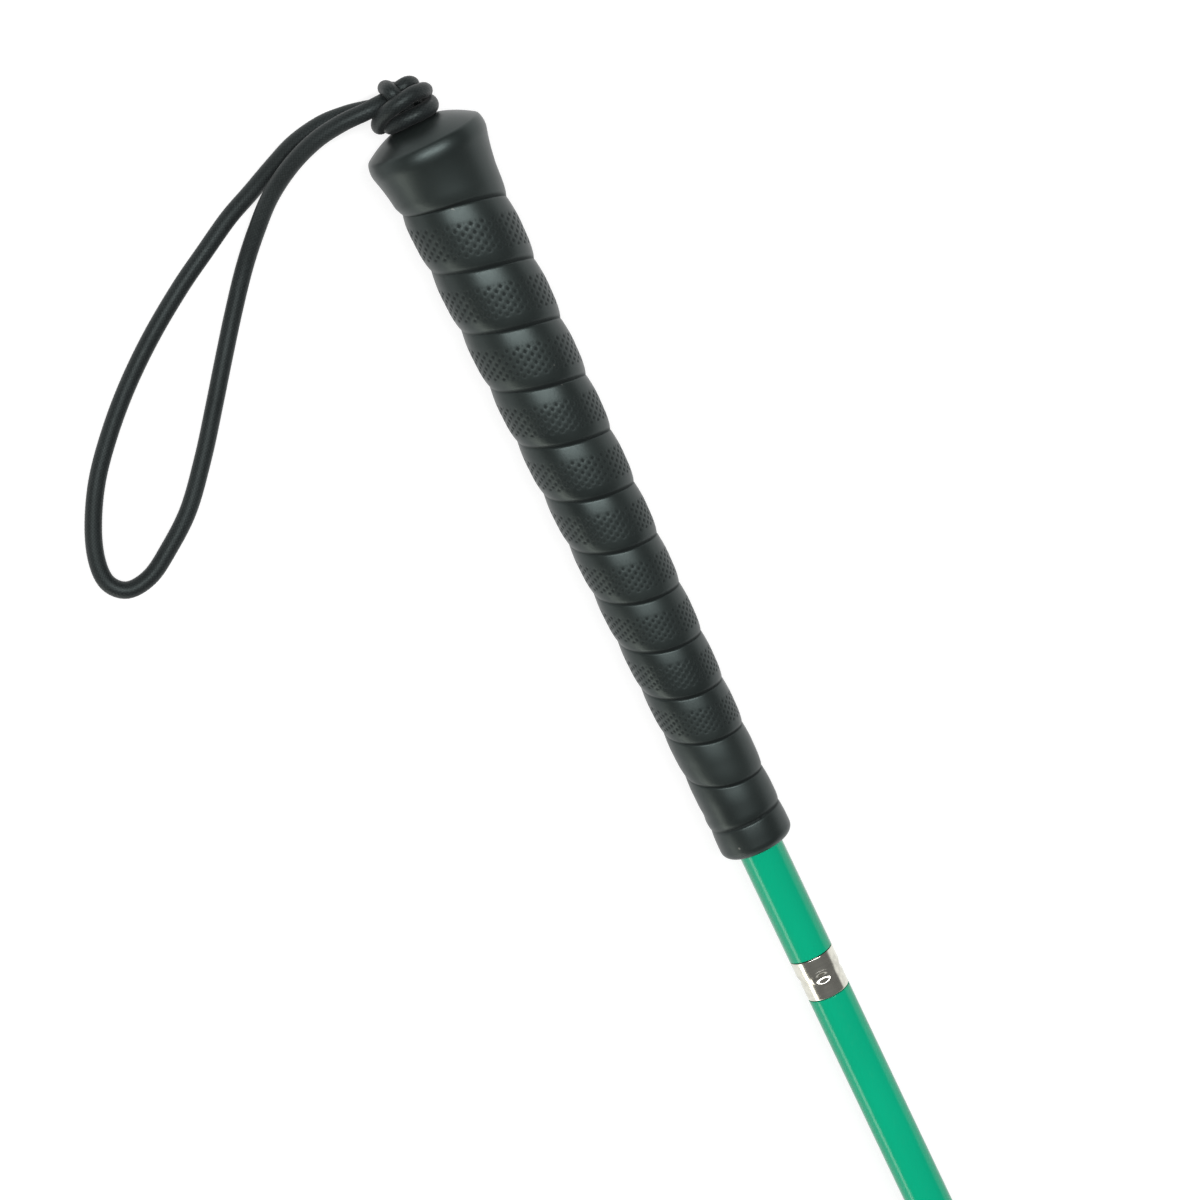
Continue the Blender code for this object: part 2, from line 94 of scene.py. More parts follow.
class Finish:
    """One node tree, of a material or of the world, and the ways to add to it."""

    def __init__(self, owner):
        owner.use_nodes = True
        self.owner = owner
        self.tree = owner.node_tree
        self.tree.nodes.clear()

    def node(self, kind, settings=None, sockets=None, output=0):
        """Adds a node: its settings are set first, then its sockets, given by name or number."""
        made = self.tree.nodes.new(kind)
        for key, value in (settings or {}).items():
            setattr(made, key, value)
        for key, value in (sockets or {}).items():
            if isinstance(value, Value):
                self.tree.links.new(value.socket, made.inputs[key])
            else:
                made.inputs[key].default_value = value
        return Value(self, made.outputs[output]) if made.outputs else None

    def math(self, operation, *values):
        """The result of a Math node, given its operation and up to three numbers or links."""
        return self.node("ShaderNodeMath", {"operation": operation}, dict(enumerate(values)))

    def range(self, value, low, high, new_low=0.0, new_high=1.0):
        """A value moved smoothly from one range to another and kept inside it."""
        return self.node(
            "ShaderNodeMapRange",
            {"interpolation_type": "SMOOTHSTEP"},
            {0: value, 1: low, 2: high, 3: new_low, 4: new_high},
        )

    def place(self):
        """The place on the object itself, in metres, so that a pattern rides with it."""
        return self.node("ShaderNodeTexCoord", output="Object")

    def scaled(self, place, factors):
        """A place with each coordinate multiplied, to stretch a pattern."""
        return self.node("ShaderNodeVectorMath", {"operation": "MULTIPLY"}, {0: place, 1: factors})

    def part_of(self, vector, axis):
        """One coordinate of a vector, 0 to 2 for X to Z."""
        return self.node("ShaderNodeSeparateXYZ", None, {0: vector}, output=axis)

    def noise(self, place, scale, detail, roughness=0.5):
        """A cloudy pattern, 0 to 1, with about so many spots to the metre."""
        sockets = {"Vector": place, "Scale": scale, "Detail": detail, "Roughness": roughness}
        return self.node("ShaderNodeTexNoise", None, sockets)

    def blend(self, share, first, second):
        """Two colours mixed by a share, each one either a colour or a link. The node's colours
        are its sockets 6 and 7, and its third result."""
        pair = [
            colour if isinstance(colour, Value) else (*colour, 1.0) for colour in (first, second)
        ]
        sockets = {0: share, 6: pair[0], 7: pair[1]}
        return self.node("ShaderNodeMix", {"data_type": "RGBA"}, sockets, output=2)

    def bump(self, height, distance, strength):
        """A normal tilted by a height of 0 to 1, which stands for a distance in metres."""
        sockets = {"Height": height, "Distance": distance, "Strength": strength}
        return self.node("ShaderNodeBump", None, sockets)


def finish_of(name, sockets_of):
    """A material with one principled shader, whose sockets the given function names."""
    finish = Finish(bpy.data.materials.new(name))
    sockets = sockets_of(finish)
    for key, value in sockets.items():
        if isinstance(value, tuple):
            sockets[key] = (*value, 1.0)
    shader = finish.node("ShaderNodeBsdfPrincipled", None, sockets)
    finish.node("ShaderNodeOutputMaterial", None, {"Surface": shader})
    return finish.owner


HORIZON = 0.08  # sine of the height up to which the studio is white
CEILING = 0.5  # and of that from which it is grey
CEILING_LEVEL = 0.18
DARK_SIDE = 2.0  # how much sooner it gets grey towards +Y

studio = Finish(bpy.data.worlds.new("studio"))
direction = studio.node("ShaderNodeTexCoord", output="Generated")
side = studio.math("MAXIMUM", studio.part_of(direction, 1), 0.0)
rise = studio.part_of(direction, 2) * (side * DARK_SIDE + 1.0)
level = studio.range(rise, HORIZON, CEILING, 1.0, CEILING_LEVEL)
sky = studio.node("ShaderNodeBackground", None, {"Color": (1, 1, 1, 1), "Strength": level})
studio.node("ShaderNodeOutputWorld", None, {"Surface": sky})
bpy.context.scene.world = studio.owner

FLOOR_HALF = 30.0  # metres, half its width
FLOOR_DROP = 0.12 * MM  # below the part, which stands on 0
FLOOR_GLOW = 0.72  # its own light, for the camera and for what mirrors it
FLOOR_GREY = 0.38

floor_mesh = bpy.data.meshes.new("floor")
corners = [(-1, -1), (1, -1), (1, 1), (-1, 1)]
floor_mesh.from_pydata(
    [(x * FLOOR_HALF, y * FLOOR_HALF, -FLOOR_DROP) for x, y in corners], [], [(0, 1, 2, 3)]
)


def sheet_sockets(finish):
    """White paper: it glows for what looks at it, and is lit and shaded as plain grey."""
    camera_ray = finish.node("ShaderNodeLightPath", output="Is Camera Ray")
    glossy_ray = finish.node("ShaderNodeLightPath", output="Is Glossy Ray")
    clear_ray = finish.node("ShaderNodeLightPath", output="Is Transmission Ray")
    seen = finish.math("MAXIMUM", camera_ray, finish.math("MAXIMUM", glossy_ray, clear_ray))
    glow = (FLOOR_GLOW,) * 3
    return {
        "Base Color": (FLOOR_GREY,) * 3,
        "Roughness": 1.0,
        "Specular IOR Level": 0.0,
        "Emission Color": finish.blend(seen, (0.0, 0.0, 0.0), glow),
        "Emission Strength": 1.0,
    }


floor_mesh.materials.append(finish_of("studio_sheet", sheet_sockets))
floor = bpy.data.objects.new("floor", floor_mesh)
bpy.context.scene.collection.objects.link(floor)


def add_lamp(name, place, aim, size, watts, colour=(1, 1, 1)):
    """A flat lamp at a place, turned to a point, of a width and a length in metres."""
    data = bpy.data.lights.new(name, "AREA")
    data.shape = "RECTANGLE"
    data.size, data.size_y = size
    data.energy = watts
    data.color = colour
    lamp = bpy.data.objects.new(name, data)
    lamp.location = place
    lamp.rotation_mode = "QUATERNION"
    lamp.rotation_quaternion = (Vector(aim) - Vector(place)).to_track_quat("-Z", "Y")
    bpy.context.scene.collection.objects.link(lamp)


add_lamp(
    "key_lamp", place=(-1.1, 0.25, 3.3), aim=(-1.1, 0.0, 0.0), size=(0.7, 3.4), watts=118
)
add_lamp(
    "side_lamp",
    place=(0.78, -1.6, 0.34),
    aim=(0.5, 0.0, 0.0),
    size=(1.6, 0.45),
    watts=8,
    colour=(1.0, 0.95, 0.84),
)


# The wrist loop is one length of black braided elastic, 4.8 mm thick, that comes out of the
# knot and lies on the floor beside the grip. Its braid stands up a little all round.
grip_low, grip_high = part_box("grip")
CROWN = grip_low.x
AXIS_HEIGHT = (grip_low.z + grip_high.z) / 2
CORD_RADIUS = 2.4 * MM
BRAID_STRANDS = 16  # each way round the cord
BRAID_PITCH = 1.0 * MM  # along the cord, from one strand to the next
BRAID_RELIEF = 0.13 * MM
STRAND_ROUNDING = 0.92  # of a strand across its width
STRAND_BOW = 0.3  # and along it, from one crossing to the next
STRAND_COLUMNS = 4  # of the mesh
LOOP_ROWS = 1340
CURVE_STEPS = 40  # between two given points, before they are spaced evenly
FIRST_ACROSS = (0.0, 0.31, 0.95)  # a direction across a cord's start
END_CLOSING = (0.0, 0.7)  # shares of a cord's radius at its end, a point and a circle
MERGE_DISTANCE = 0.002 * MM
YARN_COLOURS = ((0.011, 0.013, 0.0135), (0.022, 0.0265, 0.027))
# painted shade in the gaps between the braid's strands
YARN_PAINTED_SHADE_COLOUR = (0.003, 0.0036, 0.004)
YARN_GLOSS_TINT = (0.85, 1.0, 0.98)
LOOP_ROUTE_MM = [  # along from the crown, across, and above the floor
    (-9.3, -10.9, 14.3),
    (-10.2, -16.0, 13.4),
    (-10.4, -23.0, 11.8),
    (-8.6, -31.5, 9.0),
    (-5.1, -39.5, 6.2),
    (-1.2, -47.6, 4.0),
    (2.6, -56.0, 2.8),
    (8.0, -65.6, 2.5),
    (14.0, -76.0, 2.5),
    (22.3, -88.4, 2.5),
    (31.4, -99.9, 2.5),
    (41.0, -110.0, 2.5),
    (51.3, -118.9, 2.5),
    (62.0, -125.4, 2.5),
    (71.0, -128.8, 2.5),
    (78.0, -129.0, 2.5),
    (82.2, -125.0, 2.5),
    (81.6, -118.0, 2.5),
    (77.0, -110.2, 2.5),
    (69.4, -100.4, 2.5),
    (58.0, -90.4, 2.5),
    (47.3, -82.1, 2.5),
    (36.6, -74.0, 2.5),
    (26.1, -65.9, 2.5),
    (16.4, -58.0, 3.2),
    (8.4, -50.6, 5.6),
    (1.4, -43.2, 9.0),
    (-4.2, -34.6, 13.0),
    (-7.8, -25.8, 16.4),
    (-9.2, -17.6, 18.6),
    (-9.3, -10.9, 19.5),
]
LOOP_START_MM = [(-7.6, -4.5, 13.3), (-8.4, -7.8, 13.6)]  # inside the knot
LOOP_END_MM = [(-9.4, -7.8, 19.0), (-9.3, -4.4, 17.4)]


def lengths_along(path):
    """The length of the path up to each of its points."""
    return np.concatenate([[0.0], np.cumsum(np.linalg.norm(np.diff(path, axis=0), axis=1))])


def curve_through(points, rows):
    """Evenly spaced points on the Catmull-Rom curve through the given ones: between two of
    them it is the cubic whose slope at each is half the step between its neighbours."""
    points = np.array(points, float)
    held = np.vstack([points[:1], points, points[-1:]])
    before, first, second, after = held[:-3], held[1:-2], held[2:-1], held[3:]
    t = np.linspace(0, 1, CURVE_STEPS, endpoint=False)[:, None, None]
    bend = 2 * before - 5 * first + 4 * second - after
    twist = 3 * first - before - 3 * second + after
    fine = (2 * first + (second - before) * t + bend * t**2 + twist * t**3) / 2
    fine = np.vstack([fine.transpose(1, 0, 2).reshape(-1, 3), points[-1:]])
    lengths = lengths_along(fine)
    wanted = np.linspace(0, lengths[-1], rows)
    return np.stack([np.interp(wanted, lengths, fine[:, axis]) for axis in range(3)], axis=1)


def directions_across(path):
    """Two directions across a path at each point, turned as little as possible from one point
    to the next: each is the last one with its part along the new tangent taken away."""
    tangents = np.gradient(path, axis=0)
    tangents /= np.linalg.norm(tangents, axis=1)[:, None]
    across = np.array(FIRST_ACROSS)
    rows = []
    for tangent in tangents:
        across = across - tangent * (across @ tangent)
        across = across / np.linalg.norm(across)
        rows.append(across)
    first = np.array(rows)
    return first, np.cross(tangents, first)


def tube_along(path, radius, columns):
    """A grid of points round a path: a circle at each of its points, of the given radius, which
    may be an array. Each end closes in a smaller circle and a point."""
    first, second = directions_across(path)
    angle = np.linspace(0, 2 * math.pi, columns + 1)[None, :, None]
    circle = first[:, None] * np.cos(angle) + second[:, None] * np.sin(angle)
    points = path[:, None] + circle * np.broadcast_to(radius, circle.shape[:2])[..., None]
    shrink = np.array(END_CLOSING)[:, None, None]
    start = path[0] + (points[:1] - path[0]) * shrink
    end = path[-1] + (points[-1:] - path[-1]) * shrink[::-1]
    return np.concatenate([start, points, end])


def braid_height(around, along):
    """How high the braid stands, 0 to 1. Strands run both ways round the cord. Where two
    cross, every second one lies on top, round across its width and bowed along it."""
    one = around + along
    other = around - along
    top = (np.floor(one) + np.floor(other)) % 2 < 1
    across = np.where(top, one % 1.0, other % 1.0) * 2 - 1
    lengthwise = np.where(top, other % 1.0, one % 1.0) * 2 - 1
    return np.sqrt(1 - STRAND_ROUNDING * across**2) * (1 - STRAND_BOW * lengthwise**2)


def braided_cord(path, strands=BRAID_STRANDS, pitch=BRAID_PITCH, radius=CORD_RADIUS):
    """The points of a braided cord along a path and their map, which counts strands round it
    and along it. The braid takes a little off the radius."""
    columns = STRAND_COLUMNS * strands
    around = np.linspace(0, 1, columns + 1)[None, :] * strands
    along = lengths_along(path)[:, None] / pitch
    radius = radius - BRAID_RELIEF * (1 - braid_height(around, along))
    chart = np.stack(np.broadcast_arrays(around, along), -1)
    chart = np.concatenate([chart[:1], chart[:1], chart, chart[-1:], chart[-1:]])
    return tube_along(path, radius, columns), chart.reshape(-1, 2)


def grid_faces(rows, columns):
    """The quads of a grid of points, row after row."""
    corner = np.arange((rows - 1) * columns).reshape(rows - 1, columns)[:, :-1]
    quads = np.stack([corner, corner + 1, corner + columns + 1, corner + columns], -1)
    return quads.reshape(-1, 4)


def add_piece(name, grids, finish, body, chart=None, marks=None, turned=False, sharp=None):
    """A piece from grids of points. Points that meet, as at a seam or a pole, are merged. chart
    gives its UV map and marks its named numbers, both a value for each point. turned flips its
    faces, and edges that turn by more than sharp degrees stay sharp."""
    faces = []
    count = 0
    for grid in grids:
        faces.append(grid_faces(*grid.shape[:2]) + count)
        count += grid.shape[0] * grid.shape[1]
    faces = np.concatenate(faces)
    if turned:
        faces = faces[:, ::-1]
    points = np.concatenate([grid.reshape(-1, 3) for grid in grids])
    mesh = bpy.data.meshes.new(name)
    mesh.from_pydata(points.tolist(), [], faces.tolist())
    if chart is not None:
        corners = np.empty(len(mesh.loops), np.int32)
        mesh.loops.foreach_get("vertex_index", corners)
        layer = mesh.uv_layers.new(name="UVMap")
        layer.data.foreach_set("uv", chart[corners].ravel())
    for mark, values in (marks or {}).items():
        attribute = mesh.attributes.new(mark, "FLOAT", "POINT")
        attribute.data.foreach_set("value", values.astype(np.float32))
    merged = bmesh.new()
    merged.from_mesh(mesh)
    bmesh.ops.remove_doubles(merged, verts=merged.verts, dist=MERGE_DISTANCE)
    merged.to_mesh(mesh)
    merged.free()
    mesh.shade_smooth()
    if sharp is not None:
        mesh.set_sharp_from_angle(angle=math.radians(sharp))
    mesh.materials.append(finish)
    piece = bpy.data.objects.new(name, mesh)
    bpy.context.scene.collection.objects.link(piece)
    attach(piece, body)
    return piece


def from_crown(points_mm, height=0.0):
    """Places given in mm along from the crown, across, and above a height, in the row frame."""
    return np.array(points_mm, float) * MM + np.array((CROWN, 0.0, height))


def cord_sockets(finish):
    """Black yarn of a tone that varies at random, with painted shade that darkens the gaps between
    its strands, and loose fibres.
    """
    chart = finish.node("ShaderNodeUVMap", {"uv_map": "UVMap"})
    around = finish.part_of(chart, 0)
    along = finish.part_of(chart, 1)
    one = finish.math("PINGPONG", around + along, 0.5)
    other = finish.math("PINGPONG", around - along, 0.5)
    # painted shade: the gaps between the strands are darkened as if in shadow
    painted_gap_shade = finish.range(finish.math("MINIMUM", one, other), 0.0, 0.16, 1.0, 0.0)
    place = finish.place()
    fibre = finish.noise(place, 2600.0, 2.0)
    patch = finish.noise(place, 70.0, 2.0)
    tint = finish.range(fibre + patch * 0.6, 0.5, 1.1)
    yarn = finish.blend(tint, *YARN_COLOURS)
    return {
        "Base Color": finish.blend(painted_gap_shade * 0.85, yarn, YARN_PAINTED_SHADE_COLOUR),
        "Roughness": finish.range(fibre, 0.3, 0.7, 0.4, 0.56),
        "Specular IOR Level": 0.3,
        "Specular Tint": YARN_GLOSS_TINT,
        "Sheen Weight": 0.04,
        "Sheen Roughness": 0.45,
        "Normal": finish.bump(fibre, 0.05 * MM, 0.6),
    }


cord_finish = finish_of("braided_elastic", cord_sockets)
loop_path = curve_through(from_crown(LOOP_START_MM + LOOP_ROUTE_MM + LOOP_END_MM), LOOP_ROWS)
loop_grid, loop_chart = braided_cord(loop_path)
wrist_loop = add_piece(
    "wrist_loop_cord", [loop_grid], cord_finish, "upper_section", loop_chart
)
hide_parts("wrist_loop")


# The knot is tied in the same cord and sits on the cap, over the cord's hole. One strand comes
# up through the hole, arches over, wraps round twice and is tucked in, and a second locks it.
KNOT_STRANDS_MM = [  # along from the crown, across, and above the cane's axis
    [
        (7.0, 0.0, 0.0),
        (3.5, 0.0, 0.0),
        (0.5, 0.0, 0.0),
        (-2.6, -0.2, 0.1),
        (-5.6, -0.7, 0.5),
        (-8.0, -1.5, 2.0),
        (-9.9, -2.0, 4.0),
        (-11.4, -2.5, 4.0),
        (-12.2, -2.9, 1.4),
        (-12.1, -3.2, -1.8),
        (-10.8, -2.2, -5.0),
        (-9.2, 0.6, -6.8),
        (-7.6, 3.8, -5.6),
        (-7.0, 5.7, -2.6),
        (-7.6, 5.6, 0.6),
        (-8.1, 4.7, 3.4),
        (-8.6, 2.4, 5.8),
        (-8.2, -1.0, 7.0),
        (-7.5, -4.4, 6.2),
        (-6.3, -7.3, 3.6),
        (-4.6, -8.9, 0.4),
        (-3.4, -8.7, -2.6),
        (-3.7, -6.0, -5.8),
        (-4.2, -2.4, -8.4),
        (-4.4, 2.0, -8.4),
        (-3.9, 5.2, -5.2),
        (-3.1, 5.7, -1.0),
        (-3.0, 4.3, 3.0),
        (-3.2, 0.8, 5.2),
        (-3.1, -3.4, 4.4),
        (-2.7, -6.3, 1.2),
        (-2.9, -5.8, -2.2),
        (-3.3, -2.6, -4.8),
        (-3.3, 1.2, -5.0),
    ],
    [
        (-9.5, -3.6, 0.2),
        (-9.6, -2.6, -0.6),
        (-10.2, -1.3, -0.4),
        (-10.9, 0.6, 1.4),
        (-10.9, 2.4, 0.6),
        (-10.0, 3.4, -2.0),
        (-8.8, 2.4, -3.8),
        (-7.4, 0.6, -3.4),
    ],
]
KNOT_ROWS = (580, 110)
KNOT_CORD_RADIUS = 2.15 * MM  # drawn thinner where it is pulled tight

knot_cords = [
    braided_cord(curve_through(from_crown(strand, AXIS_HEIGHT), rows), radius=KNOT_CORD_RADIUS)
    for strand, rows in zip(KNOT_STRANDS_MM, KNOT_ROWS)
]
wrist_knot = add_piece(
    "wrist_knot_cord",
    [grid for grid, _ in knot_cords],
    cord_finish,
    "upper_section",
    np.concatenate([chart for _, chart in knot_cords]),
)
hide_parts("wrist_knot")


# The grip is one moulded sleeve of black rubber, pushed onto the upper tube. A spiral groove
# runs down it between wraps that are pitted in rows, and its upper end flares into a cap.
GRIP_LENGTH = 220.2 * MM
CAP_CROWN = -1.2 * MM  # where the dome starts at the cord's hole
CAP_THICKNESS = 12 * MM
CAP_RIM_RADIUS = 16.7 * MM
CAP_RIM_POSITION = 6.8 * MM
CAP_RIM_ROUNDINGS = (1.6 * MM, 7.0 * MM)  # of its corner and of its top
CAP_RIM_TURN = 110  # degrees, where one meets the other
CAP_RIM_STEPS = (7, 10)
DOME_SLOPE = 34  # degrees, where it meets the rim
DOME_RINGS = 14
FLARE_SLOPE = 15.4  # degrees, below the rim
FLARE_RINGS = 3
CAP_FLARE_EASING = 2.0
CORD_HOLE = 2.75 * MM
NECK_POSITION = 24 * MM
NECK_RADIUS = 14.35 * MM
TAPER_END = 200 * MM
GRIP_END_RADIUS = 10.45 * MM
GRIP_HOLLOWING = 0.12  # how much its taper sags
GRIP_END_ROUNDING = 2.8 * MM
GRIP_END_STEPS = 8
GRIP_BORE = 6.65 * MM
BORE_EDGE = 0.5 * MM
BORE_EDGE_STEPS = 4
GROOVE_START = 21.7 * MM
GROOVE_PITCH = 18.87 * MM
GROOVE_PITCH_LOSS = 0.506 * MM  # of each turn against the last
GROOVE_RUN_IN = 11.5 * MM  # its pitch before its start
GROOVE_BOWS = (1.2 * MM, -2.2 * MM)  # how far its sides lie off a true spiral, at each end
GROOVE_BOW_TURNS = 8  # in which it goes from the first to the second
GROOVE_BEGINS = (17 * MM, 18.6 * MM)  # where it fades in
GROOVE_ENDS = (204 * MM, 208 * MM)  # and out
GROOVE_DEPTHS = (0.85 * MM, 0.45 * MM)  # at its start and its end
WRAP_RISE = 0.42  # shares of a wrap, where it stops rising and starts to fall
WRAP_FALL = 0.62
WRAP_POWERS = (1.7, 2.4)
CREASE_DEPTH = 0.4 * MM
CREASE_WIDTHS = (0.8 * MM, 0.25 * MM)  # before and after its bottom
CREASE_SIDE = 0.15  # share of its depth and of its painted shade at the sides
CREASE_DEEPEST = math.radians(10)  # from the top
RING_POSITION = 210.7 * MM
RING_DEPTH = 0.32 * MM
RING_WIDTHS = (3.0 * MM, 5.0 * MM)  # before and after its bottom
WRAP_ROWS = 40  # rows of the mesh in one turn, closer together at the groove
ROW_CROWDING = 0.36
GRIP_COLUMNS = 168
GRID_START = 10 * MM  # up to here the mesh is plain rings
GRID_TURNS = (-2, 14)  # before those that lie off the sleeve are left out
PIT_DEPTH = 0.18 * MM
PIT_SPACING = 6  # columns of the mesh
PIT_SIDE = 0.3  # share of a pit's depth one column or row from its middle
PIT_BAND = (0.26, 0.77)  # share of a wrap that is pitted
PITTED_WRAPS = 10
RUBBER_COLOURS = ((0.0085, 0.011, 0.0105), (0.013, 0.0165, 0.0155))
RUBBER_DUST_COLOUR = (0.12, 0.12, 0.11)
# painted shade in the grip's pits and creases
RUBBER_PAINTED_SHADE_COLOUR = (0.002, 0.0024, 0.0024)
RUBBER_GLOSS_TINT = (0.82, 1.0, 0.98)


def fade(value):
    """0 below 0, 1 above 1 and smooth between, 3v² - 2v³."""
    value = np.clip(value, 0, 1)
    return value * value * (3 - 2 * value)


def crease(distance, before, after):
    """A crease 1 deep at its bottom, exp(-(d / w)²), with a width for each of its sides."""
    return np.exp(-((distance / np.where(distance < 0, before, after)) ** 2))


def wrap_shape(share, position, angle):
    """How far the wraps lie below the taper, and how deep the crease between them is, 0 to 1,
    which also sets the painted shade in it. After the crease a wrap rises as (1 - s)^1.7 and it
    falls to the next one as s^2.4. A ring of the same shape ends them. The crease and its
    painted shade are deepest on top and below, as cos²."""
    rising, falling = WRAP_POWERS
    rise = np.clip(1 - share / WRAP_RISE, 0, 1) ** rising
    fall = np.clip((share - WRAP_FALL) / (1 - WRAP_FALL), 0, 1) ** falling
    first, last = GROOVE_BEGINS
    begun = fade((position - first) / (last - first))
    first, last = GROOVE_ENDS
    shown = begun * fade((last - position) / (last - first))
    deep, shallow = GROOVE_DEPTHS
    depth = deep + (shallow - deep) * fade((position - GROOVE_START) / (last - GROOVE_START))
    spiral = crease(((share + 0.5) % 1.0 - 0.5) * GROOVE_PITCH, *CREASE_WIDTHS) * shown
    beyond = position - RING_POSITION
    ring = crease(beyond, *CREASE_WIDTHS)
    sides = np.clip(1 - np.abs(beyond) / np.where(beyond < 0, *RING_WIDTHS), 0, 1) ** 2
    facing = CREASE_SIDE + (1 - CREASE_SIDE) * np.cos(angle - CREASE_DEEPEST) ** 2
    # the crease's depth here also gives the painted shade in it
    deepest = np.maximum(spiral, ring) * facing
    below = np.maximum(rise, fall) * depth * shown + sides * RING_DEPTH + deepest * CREASE_DEPTH
    return below, deepest


def arc(centre, radius, first, last, steps):
    """Points of an arc in the plane of position and radius, its angles in degrees."""
    turn = np.radians(np.linspace(first, last, steps + 1))
    return np.stack([centre[0] + radius * np.cos(turn), centre[1] + radius * np.sin(turn)], -1)


def cap_rim():
    """The rim's outline from the dome to the flare: a tight arc and then a broad one, which
    share their tangent where they meet."""
    corner, top = CAP_RIM_ROUNDINGS
    corner_steps, top_steps = CAP_RIM_STEPS
    top_centre = (CAP_RIM_POSITION, CAP_RIM_RADIUS - top)
    broad = arc(top_centre, top, CAP_RIM_TURN, 90 - FLARE_SLOPE, top_steps)
    turn = math.radians(CAP_RIM_TURN)
    corner_centre = broad[0] - corner * np.array((math.cos(turn), math.sin(turn)))
    tight = arc(corner_centre, corner, 180 - DOME_SLOPE, CAP_RIM_TURN, corner_steps)
    return np.vstack([tight[:-1], broad])


rim = cap_rim()
FLARE_START, FLARE_RADIUS = rim[-1]


def sleeve_radius(position):
    """The sleeve's radius without its groove: the cap's flare, which eases down to the neck as
    1 - (1 - s)², and then a taper that sags a little between its ends."""
    flare = np.clip((position - FLARE_START) / (NECK_POSITION - FLARE_START), 0, 1)
    easing = 1 - (1 - flare) ** CAP_FLARE_EASING
    share = np.clip((position - NECK_POSITION) / (TAPER_END - NECK_POSITION), 0, 1)
    share = share + GRIP_HOLLOWING * share * (1 - share)
    radius = FLARE_RADIUS + (NECK_RADIUS - FLARE_RADIUS) * easing
    return radius + (GRIP_END_RADIUS - NECK_RADIUS) * share


def round_axis(position, radius, angle):
    """Points at a position from the crown, a radius from the cane's axis and an angle."""
    across, up = radius * np.sin(angle), radius * np.cos(angle)
    return np.stack(np.broadcast_arrays(CROWN + position, across, AXIS_HEIGHT + up), -1)


def around_axis(columns):
    """The angles of a full turn from below, in as many columns, with the seam's at both ends."""
    return np.linspace(-math.pi, math.pi, columns + 1)[None, :]


def pits(step, share):
    """The pits, 0 to 1: every second row has one at every sixth column, and every second of
    those rows is moved by half of that, so that they stand in diamonds."""
    half = PIT_SPACING // 2
    row = (step + 1) % 4 - 1  # -1 to 2, with pits in rows 0 and 2
    between = np.abs(row) == 1
    column = (np.arange(GRIP_COLUMNS + 1)[None, :] + half) % PIT_SPACING
    column = np.abs(column - half)  # from the nearest pit of row 0
    near = np.where(between, np.minimum(column, half - column), column)
    near = np.where(row == 2, half - column, near)
    pit = np.where(near == 0, np.where(between, PIT_SIDE, 1.0), 0.0)
    pit = np.where((near == 1) & ~between, PIT_SIDE, pit)
    band = (share > PIT_BAND[0]) & (share < PIT_BAND[1])
    return pit * (band & (step > 0) & (step < PITTED_WRAPS * WRAP_ROWS))


def sleeve_grid():
    """The sleeve on a slanting grid: a row keeps its share of a wrap and so follows the groove,
    and a column keeps its angle. Each turn is a little shorter than the last, so position =
    start + pitch · turns - loss · turns² / 2, plus a bow of 1 - cos(angle) that moves the
    groove's sides off a true spiral. Also the painted shade of its pits and creases, 0 to 1."""
    end = GRIP_LENGTH - GRIP_END_ROUNDING
    step = np.arange(GRID_TURNS[0] * WRAP_ROWS, GRID_TURNS[1] * WRAP_ROWS + 1)[:, None]
    turn = step / WRAP_ROWS
    turn = turn - ROW_CROWDING * np.sin(2 * math.pi * turn) / (2 * math.pi)
    angle = around_axis(GRIP_COLUMNS)
    total = turn + angle / (2 * math.pi)
    run = np.where(total < 0, GROOVE_RUN_IN, GROOVE_PITCH - GROOVE_PITCH_LOSS * total / 2)
    first, last = GROOVE_BOWS
    bow = first + (last - first) * fade(total / GROOVE_BOW_TURNS)
    position = GROOVE_START + run * total + bow * (1 - np.cos(angle))
    used = (position.max(axis=1) > GRID_START) & (position.min(axis=1) < end)
    kept = np.flatnonzero(used)
    kept = np.arange(kept[0] - 1, kept[-1] + 2)  # with one more row at each end
    kept = kept[(step[kept, 0] >= 0) | (step[kept, 0] % 2 == 0)]  # fewer rows on the plain neck
    position = np.clip(position[kept], GRID_START, end)
    share = turn[kept] % 1.0
    # the second result is the painted shade in the creases
    depth, crease_shade = wrap_shape(share, position, angle)
    pit = pits(step[kept], share)
    radius = sleeve_radius(position) - depth - PIT_DEPTH * pit
    return round_axis(position, radius, angle), np.maximum(pit, crease_shade)


def sleeve_rings():
    """The rest of the sleeve's outline: its rounded end, its bore, the cord's hole and the
    domed cap. The dome rises as s^p, with p such that it runs smoothly into the rim."""
    end = GRIP_LENGTH - GRIP_END_ROUNDING
    end_radius = float(sleeve_radius(np.array(end))) - GRIP_END_ROUNDING
    bore_centre = (GRIP_LENGTH - BORE_EDGE, GRIP_BORE + BORE_EDGE)
    height, reach = rim[0] - (CAP_CROWN, CORD_HOLE)
    power = math.tan(math.radians(DOME_SLOPE)) * reach / height
    share = np.linspace(0, 1, DOME_RINGS)[:-1, None]
    dome = np.hstack([CAP_CROWN + height * share**power, CORD_HOLE + reach * share])
    flare = np.linspace(FLARE_START, GRID_START, FLARE_RINGS + 1)[1:]
    return np.concatenate(
        [
            arc((end, end_radius), GRIP_END_ROUNDING, 90, 0, GRIP_END_STEPS),
            arc(bore_centre, BORE_EDGE, 0, -90, BORE_EDGE_STEPS),
            [(CAP_THICKNESS, GRIP_BORE), (CAP_THICKNESS, CORD_HOLE)],
            dome,
            rim,
            np.stack([flare, sleeve_radius(flare)], -1),
        ]
    )


